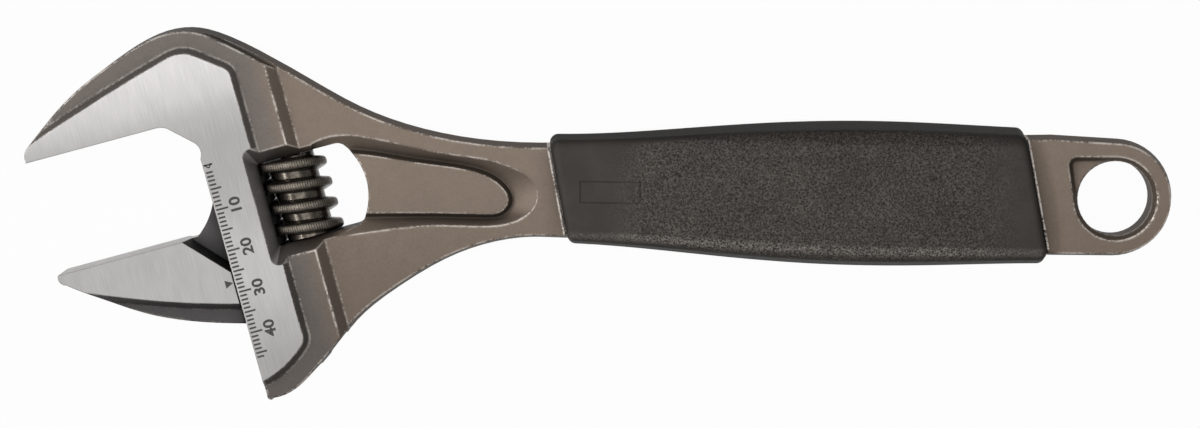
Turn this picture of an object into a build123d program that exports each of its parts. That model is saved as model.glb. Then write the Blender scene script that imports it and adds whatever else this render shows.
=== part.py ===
from build123d import *
import math
import os

# An adjustable wrench with a wide, slim head. The origin is the centre of the hanging eye, on the
# forging's mid plane. The handle runs along X with the head at -X, and +Y is the fixed jaw's side.
# Head places are given as (p, q): p from the head's front edge towards the handle, q from the fixed
# jaw's face, positive into that jaw. All lengths are in millimetres and all angles in degrees.

# Head
head_angle = 16.0  # the head's tilt against the handle
head_reach = 217.8  # front edge to hanging eye, along the handle
head_rise = 15.5  # fixed jaw's face above the handle's middle, at the front edge
head_thickness = 17.0  # over the two ground faces
head_drop = 69.2  # fixed jaw's face to the head's lower end
crown_rise = 21.3  # fixed jaw's face to the top of the head
rim_thickness = 14.4  # over the forged border round the ground faces
rim_setback = 20.2  # front edge to the ridge where the border ends
ridge_run = 1.5  # how far the ridge falls back for each millimetre of height
jaw_length = 39.8  # front edge to the jaws' tips
jaw_tip = 3.5  # height of a jaw at its tip
throat_setback = 8.0  # front edge to the end of a jaw's face
throat_depth = 9.6  # fixed jaw's face to the foot of the throat

parting_step = 0.1  # witness line round the forging's mid plane
crown_bevel = [0.3, 0.3, 0.3, 0.35, 0.5, 0.7, 1.1, 1.9, 2.2, 2.2]  # along the outer edge, tip first
heel_bevel = 0.7

# Ground faces
pad_width = 11.9  # width of the scale strip on the head
pad_crown = 15.2  # fixed jaw's face to the top of the ground face
pad_foot = 63.6  # fixed jaw's face to the ground face's lower end
pad_slope = 49.0  # slope of the step down to the border, from the upright

# Neck, shank and hanging eye
web_thickness = 11.0  # over the flats of the neck and shank
forging_draft = 9.0  # slope of the forged edges
neck_width = 22.4  # where the shank leaves the neck
neck_drop = 0.4  # its middle below the handle's middle, there
neck_reach = 135.4  # hanging eye to the end of the neck
shank_width = 28.6  # where the shank meets the hanging eye
shank_lift = 0.3  # its middle above the handle's middle, there
shank_reach = 15.0  # hanging eye to the end of the shank
eye_outer_radius = 13.9
eye_radius = 8.8
eye_rim = 1.1  # width of the dished edge round the eye
eye_dish_depth = 1.6
eye_dish_corner = 15.1  # eye centre to the dish's corner
eye_dish_angle = 140.0  # direction of that corner
eye_corner_radius = 2.0
upper_neck_power = 2.35  # how sharply the neck's upper edge sweeps in
lower_neck_power = 2.0
trough_depth = 1.9  # hollow round the neck's raised panel
panel_drop = 0.4  # panel below the flats of the neck
panel_root = 0.5  # panel's foot below the hollow's floor
panel_step = 1.3  # run of the panel's sloped sides

# Window for the adjusting knurl
window_setback = 12.1
window_top = 14.5  # fixed jaw's face to the window
window_height = 20.0
window_shoulder = 32.2  # where the window's round end starts
window_bulge = 3.8  # how far the round end stands out
window_corner = 2.6
window_knurl_corner = 0.4  # at the two corners beside the knurl
window_rim_corner = 2.4  # at the same corners, on the head's face
window_wall = 8.8  # height of the window's upright wall
window_slope_left = 0.63  # run of the sloped wall for each millimetre of height, towards the jaws
window_slope = 1.0  # the same on the other three sides

# Sliding jaw
jaw_opening = 27.4  # as drawn
closed_gap = 0.2
jaw_root = 23.3  # height of the jaw where it meets the head
jaw_front_gap = 0.3  # between the jaw and the head's front edge
jaw_neck_rise = 7.8  # neck above the jaw's face, at the front edge
jaw_neck_setback = 6.2  # front edge to where the neck curves out of the face
jaw_neck_thickness = 6.3
jaw_neck_gap = 0.15  # each side of the neck in its slot
jaw_neck_clearance = 0.4  # between the neck's curve and its slot when the jaws are closed
jaw_rim_thickness = 13.6
jaw_pad_root = 17.6  # height of the ground face at the head
jaw_step_width = 9.2  # sloped corner of the ground face, beside the neck
jaw_step_height = 9.8
jaw_step_draft = 12.6  # slope of that corner down to the neck
jaw_pad_slope = 0.88  # run of the step below the ground face for each millimetre of height
jaw_bevel = 1.0  # along the jaw's lower edge
rail_setback = 7.85  # front edge to the rail's middle
rail_radius = 5.85
rail_rise = 15.2  # rail above the jaw's face
rail_end_chamfer = 1.5
rail_clearance = 0.15
rail_end_gap = 0.5

# Adjusting knurl, its pin and spring
knurl_setback = 19.65  # front edge to the knurl's axis
knurl_radius = 8.1
knurl_core_radius = 5.65
knurl_end_gap = 0.25  # each end of the knurl in its window
knurl_lead = 5.05
knurl_ring = 17.8  # fixed jaw's face to the middle of a thread, on the handle's side
thread_crest = 1.9
thread_root = 3.4
thread_round = 1.0
rack_clearance = 0.25  # rack teeth to the flanks of the knurl's thread
rack_foot_gap = 0.3  # thread's crest to the foot of the rack
pin_radius = 2.25
pin_clearance = 0.05  # pin to knurl
pin_fit = 0.03  # pin to forging
pin_seat_depth = 7.0  # pin beyond the window, at its plain end
pin_recess = 1.6  # slotted end below the forging's edge
pin_head_radius = 2.9
pin_head_length = 9.0
pin_slot_width = 0.9
pin_slot_depth = 1.2
pin_chamfer = 0.5
spring_wire = 0.9
spring_radius = 3.35  # middle of the wire
spring_turns = 4
spring_pocket_radius = 4.3
spring_pocket_depth = 7.4
spring_end_gap = 0.3
spring_seat_gap = 0.05

# Grip
grip_start = 131.2  # hanging eye to the grip's front end, on the handle's middle
grip_end = 18.6  # hanging eye to the grip's back end
grip_slant = 11.5  # lean of both ends
grip_front_width = 26.7
grip_front_thickness = 17.4
grip_width = 34.5  # at its widest
grip_thickness = 21.0
grip_back_width = 32.3
grip_back_thickness = 19.6
grip_crown = 1.2  # rise of its broad faces over their edges
grip_draft = 12.0  # slope of its sides
grip_corner_radius = 3.0
grip_side_radius = 6.0  # where its sides meet on the mid plane
grip_fit = 0.05
grip_seat_depth = 0.8  # shank below the flats of the forging, under the grip
grip_seat_gap = 0.3  # each end of the grip to the shoulder that it stops at
grip_edge_radius = 2.0
grip_overrun = 10.0  # cavity past both ends of the shank's straight part

head_cos = math.cos(math.radians(head_angle))
head_sin = math.sin(math.radians(head_angle))
head_plane = Plane(origin=(-head_reach, head_rise, 0), x_dir=(head_cos, head_sin, 0), z_dir=(0, 0, 1))
head_up = Vector(-head_sin, head_cos, 0)
head_axis = Axis((0, 0, 0), head_up)
head_across = Axis((0, 0, 0), (head_cos, head_sin, 0))

half_head = head_thickness / 2
half_rim = rim_thickness / 2
half_web = web_thickness / 2
neck_upper = neck_width / 2 - neck_drop
neck_lower = neck_width / 2 + neck_drop
shank_over = shank_width / 2 + shank_lift
shank_under = shank_width / 2 - shank_lift
window_bottom = window_top + window_height
window_middle = window_top + window_height / 2
over = 1.0  # how far a cut reaches past the surface that it opens
far = 400.0  # longer than the wrench


def head_point(p, q):
    """Place of a head point (p, q) on the handle's axes."""
    return (-head_reach + p * head_cos - q * head_sin, head_rise + p * head_sin + q * head_cos)


def head_upright(p, q):
    """Plane square to the jaw's travel, centred at (p, q), with its normal into the fixed jaw."""
    x, y = head_point(p, q)
    return Plane(origin=(x, y, 0), x_dir=(head_cos, head_sin, 0), z_dir=head_up)


def tangent_point(x, y, radius, side):
    """Where the line from (x, y) touches a circle of that radius about the eye."""
    swing = math.acos(radius / math.hypot(x, y))
    angle = math.atan2(y, x) + side * swing
    return (radius * math.cos(angle), radius * math.sin(angle))


# Outer edge of the head, from the fixed jaw's tip over the crown to the back of the head
crown_edge = [
    (0.9 - jaw_length, jaw_tip),
    (-0.84 * jaw_length, 0.36 * crown_rise),
    (-0.62 * jaw_length, 0.62 * crown_rise),
    (-0.40 * jaw_length, 0.80 * crown_rise),
    (-0.20 * jaw_length, 0.935 * crown_rise),
    (0.4, crown_rise),
    (6.5, crown_rise - 1.0),
    (13.0, crown_rise - 4.7),
    (rim_setback + 1.5, crown_rise - 12.3),
    (rim_setback + 7.2, crown_rise - 17.9),
]
heel_edge = [
    (1.4, -head_drop),
    (5.3, 0.2 - head_drop),
    (12.7, 4.0 - head_drop),
    (rim_setback - 0.4, 9.0 - head_drop),
    (rim_setback + 3.4, 11.9 - head_drop),
]
throat_corner = (2.3 - throat_setback, -0.7)
throat_slope = (-0.4, 4.0 - throat_depth)
throat_hollow = (0.5, 1.6 - throat_depth)
throat_foot = (0, -throat_depth)
heel_front = (0, 1.4 - head_drop)
heel_corner = (0.4, 0.4 - head_drop)
neck_shares = [0.75, 0.5, 0.25]


def head_points(places):
    """Places of several head points on the handle's axes."""
    return [head_point(p, q) for p, q in places]


def neck_curve(start, end, power):
    """Points of a neck edge that sweeps from the head at start into the shank at end."""
    rise = start[1] - end[1]
    return [(end[0] + (start[0] - end[0]) * share, end[1] + rise * share**power) for share in neck_shares]


def inset_edge(places, depths):
    """Moves each point of an edge inwards, square to the edge, by its own depth."""
    moved = []
    last = len(places) - 1
    for index, (place, depth) in enumerate(zip(places, depths)):
        run = Vector(*places[min(index + 1, last)]) - Vector(*places[max(index - 1, 0)])
        shift = run.normalized().cross(Vector(0, 0, 1)) * depth
        moved.append((place[0] + shift.X, place[1] + shift.Y))
    return moved


def front_edges():
    """Front of the head, from the fixed jaw's tip along its face and down to the lower end."""
    Line(head_point(-jaw_length, 0), head_point(-throat_setback, 0))
    TangentArc(head_points([(-throat_setback, 0), throat_corner]), tangent=(head_cos, head_sin))
    Line(head_points([throat_corner, throat_slope]))
    ThreePointArc(head_points([throat_slope, throat_hollow, throat_foot]))
    Line(head_points([throat_foot, heel_front]))


def tip_edges(crown_start):
    """Blunt end of the fixed jaw, from its outer edge round to its face."""
    tip_side = head_point(-jaw_length, 1.2)
    ThreePointArc(crown_start, head_point(0.3 - jaw_length, 0.65 * jaw_tip), tip_side)
    Line(tip_side, head_point(-jaw_length, 0))


def head_outline(crown_depths, heel_depth):
    """Head drawn on its own, cut off behind the ridge, with its outer edges set in."""
    crown = head_points(inset_edge(crown_edge, crown_depths))
    heel = head_points(inset_edge(heel_edge, [-heel_depth] * len(heel_edge)))
    front_edges()
    ThreePointArc(head_point(*heel_front), head_point(*heel_corner), heel[0])
    Spline(heel)
    Line(heel[-1], crown[-1])
    Spline(list(reversed(crown)))
    tip_edges(crown[0])


def wrench_outline(depth):
    """Outer edge of the whole forging, set in by the given depth behind the jaws."""
    crown = head_points(inset_edge(crown_edge, [depth] * len(crown_edge)))
    heel = head_points(inset_edge(heel_edge, [-depth] * len(heel_edge)))
    lower_end = (-neck_reach, depth - neck_lower)
    upper_end = (-neck_reach, neck_upper - depth)
    shank_lower = (-shank_reach, depth - shank_under)
    shank_upper = (-shank_reach, shank_over - depth)
    eye_edge = eye_outer_radius - depth
    eye_lower = tangent_point(*shank_lower, eye_edge, 1)
    eye_upper = tangent_point(*shank_upper, eye_edge, -1)
    front_edges()
    ThreePointArc(head_point(*heel_front), head_point(*heel_corner), heel[0])
    Spline([*heel, *neck_curve(heel[-1], lower_end, lower_neck_power), lower_end])
    Line(lower_end, shank_lower)
    Line(shank_lower, eye_lower)
    ThreePointArc(eye_lower, (eye_edge, 0), eye_upper)
    Line(eye_upper, shank_upper)
    Line(shank_upper, upper_end)
    Spline([upper_end, *reversed(neck_curve(crown[-1], upper_end, upper_neck_power)), *reversed(crown)])
    tip_edges(crown[0])


# Everything above the border's level that lies outside the ground face
pad_step = (half_head - half_rim) * math.tan(math.radians(pad_slope))
pad_oversize = 6.0  # past the jaw's face, its tip and the head's front edge
pad_corners = [(2.3, pad_crown + 0.75), (pad_width, pad_crown - 6.6), (pad_width, 6.4 - pad_foot)]
pad_corner_radii = [7.0, 3.0, 3.0]
with BuildSketch(Plane.XY.offset(half_rim)) as pad_sketch:
    with BuildLine():
        pad_start = (-jaw_length - pad_oversize, jaw_tip - 2.6)
        pad_swell = (-0.62 * jaw_length, 0.54 * pad_crown)
        pad_heel = (-pad_oversize, -pad_foot - 0.9)
        ThreePointArc(head_points([pad_start, pad_swell, pad_corners[0]]))
        Line(head_points(pad_corners[0:2]))
        Line(head_points(pad_corners[1:3]))
        ThreePointArc(head_points([pad_corners[2], (0.45 * pad_width, 1.5 - pad_foot), pad_heel]))
        Polyline(
            head_points(
                [
                    pad_heel,
                    (-pad_oversize, -pad_oversize),
                    (-jaw_length - pad_oversize, -pad_oversize),
                    pad_start,
                ]
            )
        )
    make_face()
    for corner, radius in zip(pad_corners, pad_corner_radii):
        fillet(pad_sketch.vertices().sort_by_distance(head_point(*corner))[0], radius)
    offset(amount=pad_step, kind=Kind.INTERSECTION)

with BuildPart() as border_cut:
    with BuildSketch(Plane.XY.offset(half_rim)):
        Rectangle(2 * far, 2 * far)
    extrude(amount=half_head - half_rim + over)
    extrude(pad_sketch.sketch, amount=half_head - half_rim + 2 * over, taper=pad_slope, mode=Mode.SUBTRACT)

ridge_place = Vector(*head_point(rim_setback, 0), half_rim)
ridge_normal = Vector(head_cos, head_sin, ridge_run)
ridge_plane = Plane(origin=ridge_place, x_dir=head_up, z_dir=ridge_normal)

# Upper half of the thick head: the forged border with the ground face standing on it
with BuildPart() as head_block:
    with BuildSketch():
        with BuildLine():
            head_outline([parting_step] * len(crown_edge), parting_step)
        make_face()
    with BuildSketch(Plane.XY.offset(half_head)):
        with BuildLine():
            head_outline(crown_bevel, heel_bevel)
        make_face()
    loft(ruled=True)
    split(bisect_by=ridge_plane, keep=Keep.BOTTOM)
    add(border_cut.part, mode=Mode.SUBTRACT)


def window_edges(height):
    """Edge of the window's sloped wall at a height over the mid plane."""
    climb = max(height - window_wall / 2, 0)
    left = window_setback - climb * window_slope_left
    spread = climb * window_slope
    top = spread - window_top
    bottom = -spread - window_bottom
    shoulder = window_shoulder + spread
    apex = (shoulder + window_bulge, -window_middle)
    Line(head_points([(left, top), (shoulder, top)]))
    ThreePointArc(head_points([(shoulder, top), apex, (shoulder, bottom)]))
    Polyline(head_points([(shoulder, bottom), (left, bottom), (left, top)]))


# Edges of the hollow in the neck and of the panel standing in it. Each place is a share of the neck's
# length, from its end towards the window, and a share of the neck's half width beside its middle.
neck_length = -head_point(window_shoulder + window_bulge, -window_middle)[0] - neck_reach
hollow_edge = [
    (1.316, 0.884),
    (1.182, 1.071),
    (0.950, 1.018),
    (0.768, 0.884),
    (0.577, 0.741),
    (0.329, 0.625),
    (0.134, 0.411),
    (0.029, 0.089),
    (0.029, -0.321),
    (0.134, -0.661),
    (0.329, -0.786),
    (0.573, -0.777),
    (0.760, -0.830),
    (0.984, -0.955),
    (1.157, -1.062),
]
hollow_floor = [
    (1.316, 0.750),
    (1.182, 0.777),
    (0.950, 0.741),
    (0.768, 0.643),
    (0.577, 0.554),
    (0.356, 0.402),
    (0.229, 0.196),
    (0.171, -0.036),
    (0.158, -0.259),
    (0.200, -0.509),
    (0.331, -0.625),
    (0.573, -0.607),
    (0.760, -0.625),
    (0.984, -0.643),
    (1.157, -0.652),
]
panel_edge = [
    (1.170, 0.696),
    (0.975, 0.670),
    (0.741, 0.545),
    (0.475, 0.429),
    (0.327, 0.295),
    (0.219, 0.036),
    (0.183, -0.250),
    (0.219, -0.464),
    (0.322, -0.536),
    (0.585, -0.527),
    (0.975, -0.554),
    (1.170, -0.562),
]


def neck_edge(places, growth):
    """Closed edge on the neck, open to the window at its first and last points."""
    flat = [(along * neck_length, across * neck_width / 2) for along, across in places]
    points = [(-neck_reach - setback, side) for setback, side in inset_edge(flat, [growth] * len(flat))]
    Spline(points)
    Line(points[-1], points[0])


def eye_dish_edges():
    """Dished edge of the hanging eye, drawn out to a corner on the grip's side."""
    radius = eye_radius + eye_rim
    angle = math.radians(eye_dish_angle)
    corner = (eye_dish_corner * math.cos(angle), eye_dish_corner * math.sin(angle))
    upper = tangent_point(*corner, radius, -1)
    lower = tangent_point(*corner, radius, 1)
    Polyline(upper, corner, lower)
    ThreePointArc(lower, (-radius * math.cos(angle), -radius * math.sin(angle)), upper)


# Channel for the jaw's rail, blind inside the fixed jaw, with the slot in front of it for the jaw's neck
channel_radius = rail_radius + rail_clearance
channel_top = rail_rise - closed_gap + rail_end_gap
channel_chamfer = rail_end_chamfer + rail_clearance
with BuildPart() as channel:
    with BuildSketch(head_upright(rail_setback, -head_drop - over)):
        Circle(channel_radius)
    extrude(amount=head_drop + over + channel_top)
    chamfer(channel.faces().sort_by(head_axis)[-1].edges(), channel_chamfer)

jaw_curve = [
    (-jaw_neck_setback, 0),
    (-0.47 * jaw_neck_setback, 0.40 * jaw_neck_rise),
    (-0.2, jaw_neck_rise),
]
slot_curve = [(p - jaw_neck_clearance, y - closed_gap + jaw_neck_clearance) for p, y in jaw_curve]
slot_top = slot_curve[-1][1]
half_jaw_neck = jaw_neck_thickness / 2
with BuildPart() as neck_slot:
    with BuildSketch(head_plane):
        with BuildLine():
            ThreePointArc(slot_curve)
            Polyline(
                slot_curve[-1],
                (rail_setback, slot_top),
                (rail_setback, -head_drop - over),
                (-throat_setback, -head_drop - over),
                (-throat_setback, 0),
                slot_curve[0],
            )
        make_face()
    extrude(amount=half_jaw_neck + jaw_neck_gap, both=True)

# Pin hole through the window, wider at its lower end for the pin's head
pin_end = heel_edge[3][1] + pin_recess
pin_head_end = pin_end + pin_head_length
pin_top = pin_seat_depth - window_top
with BuildPart() as pin_hole:
    with BuildSketch(head_upright(knurl_setback, pin_head_end)):
        Circle(pin_radius + pin_fit)
    extrude(amount=pin_top - pin_head_end)
    with BuildSketch(head_upright(knurl_setback, pin_head_end)):
        Circle(pin_head_radius + pin_fit)
    extrude(amount=-pin_head_length - 4 * pin_recess)

# Seat of the grip: the shank is lower there, between two shoulders that lean as the grip's ends do
slant = math.radians(grip_slant)
seat_lean = shank_width * math.tan(slant)
seat_front = -grip_start - grip_seat_gap
seat_back = grip_seat_gap - grip_end
seat_corners = [
    (seat_front - seat_lean, shank_width),
    (seat_front + seat_lean, -shank_width),
    (seat_back + seat_lean, -shank_width),
    (seat_back - seat_lean, shank_width),
]

body_window_top = half_head + over
eye_dish_slope = math.degrees(math.atan(eye_rim / eye_dish_depth))
os.makedirs("parts", exist_ok=True)

with BuildPart() as body:
    with BuildSketch():
        with BuildLine():
            wrench_outline(0)
        make_face()
    with BuildSketch(Plane.XY.offset(half_web)):
        with BuildLine():
            wrench_outline(half_web * math.tan(math.radians(forging_draft)))
        make_face()
    loft(ruled=True)
    add(head_block.part)
    for level, corner in ((window_wall / 2, window_knurl_corner), (body_window_top, window_rim_corner)):
        with BuildSketch(Plane.XY.offset(level)) as window_level:
            with BuildLine():
                window_edges(level)
            make_face()
            fillet(window_level.vertices().sort_by(head_across)[:2], corner)
            fillet(window_level.vertices().sort_by(head_across)[-2:], window_corner)
    loft(ruled=True, mode=Mode.SUBTRACT)
    with BuildSketch(Plane.XY.offset(half_web)):
        with BuildLine():
            neck_edge(hollow_edge, 0)
        make_face()
    with BuildSketch(Plane.XY.offset(half_web - trough_depth)):
        with BuildLine():
            neck_edge(hollow_floor, 0)
        make_face()
    loft(ruled=True, mode=Mode.SUBTRACT)
    with BuildSketch(Plane.XY.offset(half_web - trough_depth - panel_root)):
        with BuildLine():
            neck_edge(panel_edge, panel_step)
        make_face()
    with BuildSketch(Plane.XY.offset(half_web - panel_drop)):
        with BuildLine():
            neck_edge(panel_edge, 0)
        make_face()
    loft(ruled=True)
    with BuildSketch(Plane.XY.offset(half_web)) as eye_dish:
        with BuildLine():
            eye_dish_edges()
        make_face()
        fillet(eye_dish.vertices().sort_by(Axis.X)[0], eye_corner_radius)
    extrude(amount=-eye_dish_depth, taper=eye_dish_slope, mode=Mode.SUBTRACT)
    with BuildSketch(Plane.XY.offset(half_web - grip_seat_depth)):
        with BuildLine():
            Polyline(seat_corners, close=True)
        make_face()
    extrude(amount=grip_seat_depth + over, mode=Mode.SUBTRACT)
    mirror(about=Plane.XY)
    with BuildSketch():
        Circle(eye_radius)
    extrude(amount=half_web, both=True, mode=Mode.SUBTRACT)
    with BuildSketch() as window_sketch:
        with BuildLine():
            window_edges(0)
        make_face()
        fillet(window_sketch.vertices().sort_by(head_across)[:2], window_knurl_corner)
        fillet(window_sketch.vertices().sort_by(head_across)[-2:], window_corner)
    extrude(amount=half_head, both=True, mode=Mode.SUBTRACT)
    add(channel.part, mode=Mode.SUBTRACT)
    add(neck_slot.part, mode=Mode.SUBTRACT)
    add(pin_hole.part, mode=Mode.SUBTRACT)

body.part.label = "body"
export_step(body.part, "parts/body.step")

# Sliding jaw, drawn at (p, y) with y from its face towards the fixed jaw
jaw_plane = Plane(
    origin=(*head_point(0, -jaw_opening), 0), x_dir=(head_cos, head_sin, 0), z_dir=(0, 0, 1)
)
half_jaw_rim = jaw_rim_thickness / 2
jaw_step_share = jaw_step_height / math.hypot(jaw_step_width, jaw_step_height)

# Rack on the rail: grooves that follow the slant of the knurl's thread, where the two meet
rack_start = jaw_opening - knurl_ring + knurl_lead / 2
groove_foot = knurl_setback - knurl_radius - rack_foot_gap
groove_mouth = knurl_setback - knurl_core_radius
groove_foot_half = thread_crest / 2 + rack_clearance
groove_mouth_half = thread_root / 2 + rack_clearance
rack_grooves = int((rack_start + jaw_root + groove_mouth_half) / knurl_lead) + 1
thread_middle = (knurl_radius + knurl_core_radius) / 2
groove_run = head_up * (-knurl_lead / (2 * math.pi * thread_middle)) + Vector(0, 0, 1)
jaw_lower_edge = [
    (-0.10 * jaw_length, 1.0 - jaw_root),
    (-0.34 * jaw_length, 4.2 - jaw_root),
    (-0.57 * jaw_length, 8.5 - jaw_root),
    (-0.785 * jaw_length, 14.1 - jaw_root),
    (2.6 - jaw_length, 18.3 - jaw_root),
    (0.7 - jaw_length, -jaw_tip),
]
jaw_pad_edge = [
    (-jaw_length - 4.2, 16.4 - jaw_pad_root),
    (-0.867 * jaw_length, 12.0 - jaw_pad_root),
    (-0.671 * jaw_length, 8.8 - jaw_pad_root),
    (-0.472 * jaw_length, 5.8 - jaw_pad_root),
    (-0.273 * jaw_length, 3.15 - jaw_pad_root),
    (2.0, -0.4 - jaw_pad_root),
]


def jaw_outline(level):
    """Thick part of the sliding jaw at a height over the mid plane."""
    fall = half_head - level
    setback = jaw_step_width - fall * math.tan(math.radians(jaw_step_draft)) / jaw_step_share
    drop = setback * jaw_step_height / jaw_step_width
    bevel = jaw_bevel * level / half_head
    root = (-jaw_front_gap, bevel - jaw_root)
    lower = [root, *inset_edge(jaw_lower_edge, [bevel] * len(jaw_lower_edge))]
    corner = (-jaw_front_gap - setback, 0)
    Polyline((-jaw_length, 0), corner, (-jaw_front_gap, -drop), root)
    Spline(lower)
    ThreePointArc(lower[-1], (-jaw_length - 0.1, 0.5 * lower[-1][1]), (-jaw_length, 0))


def jaw_border_edges(level):
    """Border below the jaw's ground face, at a height over the mid plane."""
    spread = (half_head - level) * jaw_pad_slope
    edge = inset_edge(jaw_pad_edge, [spread] * len(jaw_pad_edge))
    Spline(edge)
    Polyline(edge[-1], (edge[-1][0], -2 * jaw_root), (edge[0][0], -2 * jaw_root), edge[0])


with BuildPart() as sliding_jaw:
    for level in (0, half_head):
        with BuildSketch(jaw_plane.offset(level)):
            with BuildLine():
                jaw_outline(level)
            make_face()
    loft(ruled=True)
    for level in (half_jaw_rim, half_head + over):
        with BuildSketch(jaw_plane.offset(level)):
            with BuildLine():
                jaw_border_edges(level)
            make_face()
    loft(ruled=True, mode=Mode.SUBTRACT)
    mirror(about=Plane.XY)
    with BuildSketch(jaw_plane):
        with BuildLine():
            ThreePointArc(jaw_curve)
            Polyline(
                jaw_curve[-1],
                (rail_setback, jaw_neck_rise),
                (rail_setback, -jaw_root),
                (-jaw_front_gap - 2 * over, 2 * over - jaw_root),
                (-2 * jaw_neck_setback, -jaw_root / 2),
                (-2 * jaw_neck_setback, 0),
                jaw_curve[0],
            )
        make_face()
    extrude(amount=half_jaw_neck, both=True)
    with BuildSketch(head_upright(rail_setback, rail_rise - jaw_opening)):
        Circle(rail_radius)
    extrude(amount=-rail_rise - jaw_root)
    chamfer(
        sliding_jaw.faces().filter_by(head_axis).sort_by(head_axis)[-1].edges(),
        rail_end_chamfer,
    )
    for groove in range(rack_grooves):
        groove_height = rack_start - groove * knurl_lead
        with BuildSketch(jaw_plane):
            with BuildLine():
                Polyline(
                    (groove_foot, groove_height + groove_foot_half),
                    (groove_mouth, groove_height + groove_mouth_half),
                    (groove_mouth, groove_height - groove_mouth_half),
                    (groove_foot, groove_height - groove_foot_half),
                    close=True,
                )
            make_face()
        extrude(amount=rail_radius, dir=groove_run, both=True, mode=Mode.SUBTRACT)

sliding_jaw.part.label = "sliding_jaw"
export_step(sliding_jaw.part, "parts/sliding_jaw.step")

# Adjusting knurl, drawn upright on its own axis and then set in the window
knurl_length = window_height - 2 * knurl_end_gap
knurl_bore_radius = pin_radius + pin_clearance
knurl_place = head_upright(knurl_setback, -window_middle)
thread_taper = (thread_root - thread_crest) / 2 / (knurl_radius - knurl_core_radius)
thread_foot_half = thread_root / 2 + over * thread_taper
thread_turns = math.ceil(knurl_length / knurl_lead) + 2
thread_start = window_middle - knurl_ring - knurl_lead * math.ceil(thread_turns / 2 + 0.5)
core_turn = 40.0  # keeps the core's seam clear of the start of the thread
with BuildPart() as knurl_upright:
    with BuildLine():
        Helix(
            knurl_lead,
            thread_turns * knurl_lead,
            knurl_radius,
            center=(0, 0, thread_start),
            lefthand=True,
        )
    with BuildSketch(Plane.XZ) as thread_section:
        with BuildLine():
            Polyline(
                (knurl_core_radius - over, thread_start + thread_foot_half),
                (knurl_radius, thread_start + thread_crest / 2),
                (knurl_radius, thread_start - thread_crest / 2),
                (knurl_core_radius - over, thread_start - thread_foot_half),
                close=True,
            )
        make_face()
        fillet(thread_section.vertices().sort_by(Axis.X)[-2:], thread_round)
    sweep(is_frenet=True)
    with Locations(Location((0, 0, 0), (0, 0, core_turn))):
        Cylinder(knurl_core_radius, 2 * knurl_length)
    split(bisect_by=Plane.XY.offset(knurl_length / 2), keep=Keep.BOTTOM)
    split(bisect_by=Plane.XY.offset(-knurl_length / 2), keep=Keep.TOP)
    Cylinder(knurl_bore_radius, knurl_length, mode=Mode.SUBTRACT)
    with Locations((0, 0, -knurl_length / 2)):
        Cylinder(
            spring_pocket_radius,
            spring_pocket_depth,
            align=(Align.CENTER, Align.CENTER, Align.MIN),
            mode=Mode.SUBTRACT,
        )

with BuildPart() as knurl:
    add(knurl_place * knurl_upright.part)

knurl.part.label = "knurl"
export_step(knurl.part, "parts/knurl.step")

with BuildPart() as knurl_pin:
    with BuildSketch(head_upright(knurl_setback, pin_head_end)):
        Circle(pin_radius)
    extrude(amount=pin_top - pin_head_end)
    with BuildSketch(head_upright(knurl_setback, pin_end)):
        Circle(pin_head_radius)
    extrude(amount=pin_head_length)
    ends = knurl_pin.faces().filter_by(head_axis).sort_by(head_axis)
    chamfer([*ends[0].edges(), *ends[-1].edges()], pin_chamfer)
    with BuildSketch(head_upright(knurl_setback, pin_end)):
        Rectangle(4 * pin_head_radius, pin_slot_width)
    extrude(amount=pin_slot_depth, mode=Mode.SUBTRACT)

knurl_pin.part.label = "knurl_pin"
export_step(knurl_pin.part, "parts/knurl_pin.step")

# Spring in the knurl's lower end, wound from quarter turns of two arcs each
spring_foot = spring_seat_gap + spring_wire / 2
spring_room = knurl_end_gap + spring_pocket_depth
spring_height = spring_room - spring_foot - spring_end_gap - spring_wire / 2
spring_rise = spring_height / spring_turns
spring_place = head_upright(knurl_setback, spring_foot - window_bottom)


def spring_point(turn):
    """Middle of the wire after a number of turns."""
    angle = 2 * math.pi * turn
    return Vector(spring_radius * math.cos(angle), spring_radius * math.sin(angle), spring_rise * turn)


def spring_run(turn):
    """Direction of the wire after a number of turns."""
    angle = 2 * math.pi * turn
    swing = 2 * math.pi * spring_radius
    return Vector(-swing * math.sin(angle), swing * math.cos(angle), spring_rise).normalized()


def spring_quarter(turn):
    """Two arcs that carry the wire on by a quarter of a turn."""
    start, end = spring_point(turn), spring_point(turn + 0.25)
    start_run, end_run = spring_run(turn), spring_run(turn + 0.25)
    chord = end - start
    both = chord.dot(start_run + end_run)
    bend = 2 * (1 - start_run.dot(end_run))
    reach = (math.sqrt(both**2 + bend * chord.dot(chord)) - both) / bend
    start_reach, end_reach = start + start_run * reach, end - end_run * reach
    middle = (start_reach + end_reach) / 2
    TangentArc(start, middle, tangent=start_run)
    TangentArc(middle, end, tangent=(end_reach - start_reach).normalized())


with BuildPart() as spring_upright:
    with BuildLine():
        for quarter in range(4 * spring_turns):
            spring_quarter(quarter / 4)
    with BuildSketch(Plane(origin=spring_point(0), z_dir=spring_run(0))):
        Circle(spring_wire / 2)
    sweep()

with BuildPart() as knurl_spring:
    add(spring_place * spring_upright.part)

wire_points = [spring_point(step / 72) for step in range(72 * spring_turns + 1)]
coil_gaps = [
    (after - before).length - spring_wire
    for index, before in enumerate(wire_points)
    for after in wire_points[index + 36 :]
]
print("least gap between the spring's coils", round(min(coil_gaps), 3))

knurl_spring.part.label = "knurl_spring"
export_step(knurl_spring.part, "parts/knurl_spring.step")

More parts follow.
